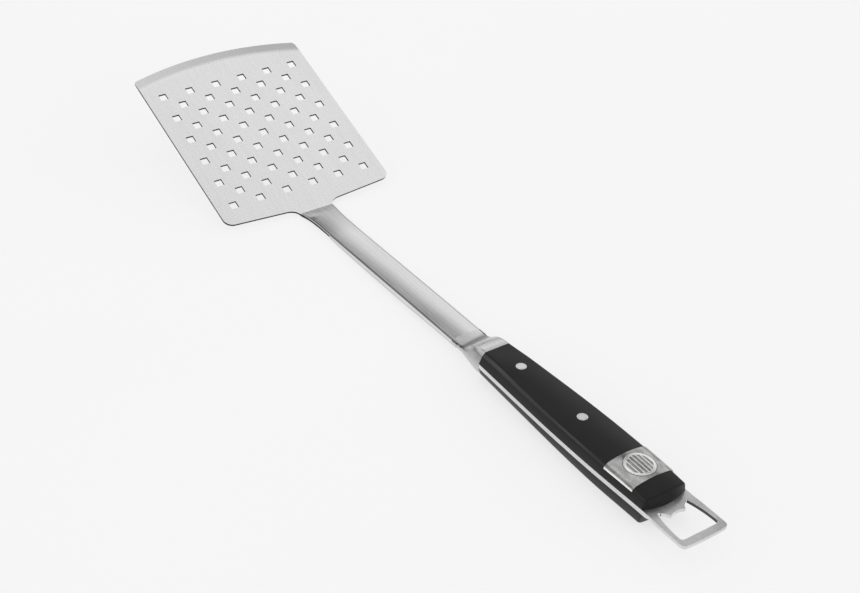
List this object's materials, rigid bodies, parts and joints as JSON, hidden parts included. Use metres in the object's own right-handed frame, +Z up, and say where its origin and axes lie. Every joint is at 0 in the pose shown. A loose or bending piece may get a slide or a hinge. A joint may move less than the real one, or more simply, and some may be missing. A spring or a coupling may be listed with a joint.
{
  "type": "grill spatula",
  "caption": "Long-handled slotted turner: square-perforated steel blade on a forged shaft, riveted full-tang handle with a badge and a bottle opener at its end.",
  "frame": {"origin": "middle of the bounding box's underside, on the surface that the tool lies on", "axes": "+X along the shaft towards the bottle opener, +Y across the blade, +Z up; the blade is tipped up at -X and the tool rests on its heel and on the underside of the handle"},
  "size_m": [0.4502, 0.11, 0.0436],
  "materials": {
    "blade_steel": "satin stainless, fine brushing along the blade",
    "shaft_steel": "satin stainless, brushed along the shaft",
    "bolster_steel": "cast stainless, smooth buffed satin",
    "tang_steel": "stamped stainless, fine tumbled satin",
    "scale_black": "black moulded polymer, fine satin grain",
    "badge_metal": "cast metal, antiqued satin with polished edges",
    "rivet_steel": "turned stainless, flat ground heads"
  },
  "bodies": {
    "root": {"blade": "blade_steel", "shaft": "shaft_steel", "bolster": "bolster_steel", "tang_with_bottle_opener": "tang_steel", "upper_scale": "scale_black", "lower_scale": "scale_black", "badge": "badge_metal", "front_rivet_stud": "rivet_steel", "front_rivet_sleeve": "rivet_steel", "middle_rivet_stud": "rivet_steel", "middle_rivet_sleeve": "rivet_steel", "rear_rivet_stud": "rivet_steel", "rear_rivet_sleeve": "rivet_steel"}
  },
  "joints": []
}
